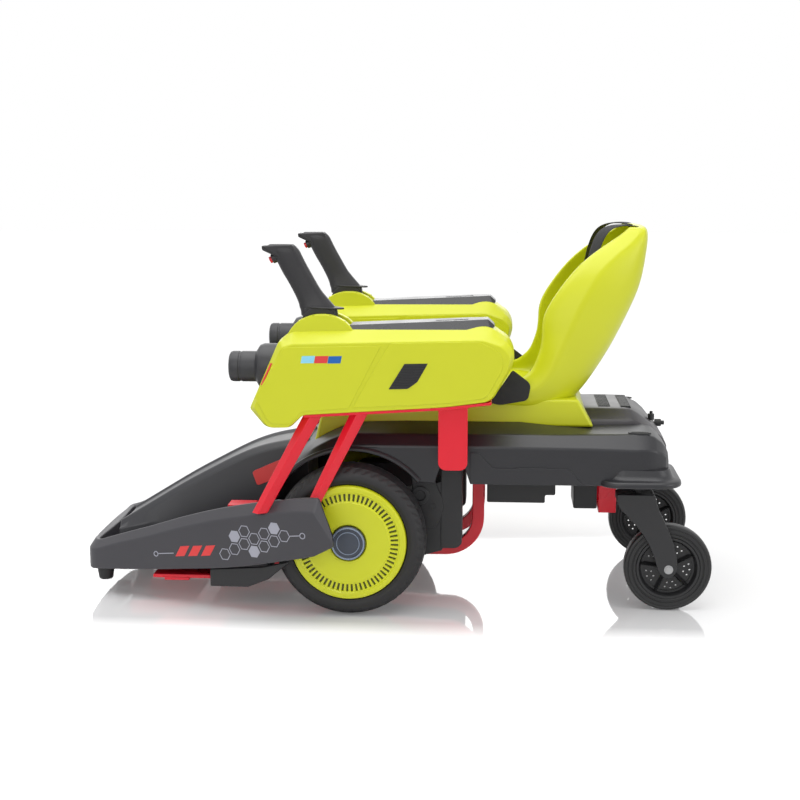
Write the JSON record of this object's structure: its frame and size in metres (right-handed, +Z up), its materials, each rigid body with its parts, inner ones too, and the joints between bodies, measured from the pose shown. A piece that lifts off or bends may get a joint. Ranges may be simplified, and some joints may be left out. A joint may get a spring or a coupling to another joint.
{
  "type": "ride-on drift car",
  "caption": "Child's electric drift car: steel frame, bucket seat, arm pods with drive levers, big front wheels and swivelling rear casters.",
  "frame": {"origin": "on the floor, under the middle of the car's length and width", "axes": "+X is the way it drives, +Y its left side, +Z up"},
  "size_m": [1.152, 0.6814, 0.6893],
  "materials": {
    "lime_plastic": "satin moulded lime polypropylene",
    "grey_plastic": "satin moulded dark grey polypropylene",
    "black_plastic": "grained black polypropylene",
    "red_steel": "gloss red powder coat on steel",
    "bare_steel": "zinc plated steel",
    "rubber_tyre": "matt black tyre",
    "webbing": "woven black webbing",
    "red_button": "gloss red moulded plastic"
  },
  "bodies": {
    "chassis": {"arm_pads": "black_plastic", "axle_beam": "red_steel", "axles": "bare_steel", "battery_box": "black_plastic", "caster_bar": "red_steel", "centre_fairing": "grey_plastic", "cockpit_tub": "lime_plastic", "controller_box": "black_plastic", "drilled_bar": "bare_steel", "foot_floor": "grey_plastic", "frame_rails": "red_steel", "guard_arms": "grey_plastic", "lamp_barrels": "black_plastic", "lap_belts": "webbing", "lever_pins": "bare_steel", "lower_body": "grey_plastic", "motor_housings": "black_plastic", "nose_feet": "black_plastic", "nose_rim": "grey_plastic", "pod_left": "lime_plastic", "pod_plate_left": "red_steel", "pod_plate_right": "red_steel", "pod_right": "lime_plastic", "pod_struts": "red_steel", "pod_vents": "black_plastic", "rear_cover": "grey_plastic", "rear_grilles": "black_plastic", "rear_pegs": "black_plastic", "seat_shell": "lime_plastic", "shoulder_straps": "webbing", "side_panels": "black_plastic", "tail_hanger": "red_steel"},
    "wheel_left": {"tyre_left": "rubber_tyre", "hub_left": "lime_plastic", "hub_cap_left": "black_plastic"},
    "caster_left": {"caster_fork_left": "black_plastic", "caster_bolt_left": "bare_steel"},
    "caster_wheel_left": {"caster_tyre_left": "rubber_tyre", "caster_rim_left": "black_plastic"},
    "drive_lever_left": {"lever_left": "black_plastic", "lever_button_left": "red_button"},
    "wheel_right": {"tyre_right": "rubber_tyre", "hub_right": "lime_plastic", "hub_cap_right": "black_plastic"},
    "caster_right": {"caster_fork_right": "black_plastic", "caster_bolt_right": "bare_steel"},
    "caster_wheel_right": {"caster_tyre_right": "rubber_tyre", "caster_rim_right": "black_plastic"},
    "drive_lever_right": {"lever_right": "black_plastic", "lever_button_right": "red_button"}
  },
  "joints": [
    {"name": "wheel_spin_left", "type": "hinge", "parent": "chassis", "child": "wheel_left", "pos_m": [0.066, 0.237, 0.135], "axis": [0, 1, 0], "continuous": true},
    {"name": "caster_swivel_left", "type": "hinge", "parent": "chassis", "child": "caster_left", "pos_m": [-0.442, 0.185, 0.2], "axis": [0, 0, 1], "continuous": true},
    {"name": "caster_spin_left", "type": "hinge", "parent": "caster_left", "child": "caster_wheel_left", "pos_m": [-0.498, 0.185, 0.078], "axis": [0, 1, 0], "continuous": true},
    {"name": "lever_tilt_left", "type": "hinge", "parent": "chassis", "child": "drive_lever_left", "pos_m": [0.118, 0.225, 0.512], "axis": [0, 1, 0], "range_deg": [-15, 15], "stiffness_Nm_per_rad": 4},
    {"name": "wheel_spin_right", "type": "hinge", "parent": "chassis", "child": "wheel_right", "pos_m": [0.066, -0.237, 0.135], "axis": [0, 1, 0], "continuous": true},
    {"name": "caster_swivel_right", "type": "hinge", "parent": "chassis", "child": "caster_right", "pos_m": [-0.442, -0.185, 0.2], "axis": [0, 0, 1], "continuous": true},
    {"name": "caster_spin_right", "type": "hinge", "parent": "caster_right", "child": "caster_wheel_right", "pos_m": [-0.498, -0.185, 0.078], "axis": [0, 1, 0], "continuous": true},
    {"name": "lever_tilt_right", "type": "hinge", "parent": "chassis", "child": "drive_lever_right", "pos_m": [0.118, -0.225, 0.512], "axis": [0, 1, 0], "range_deg": [-15, 15], "stiffness_Nm_per_rad": 4}
  ]
}
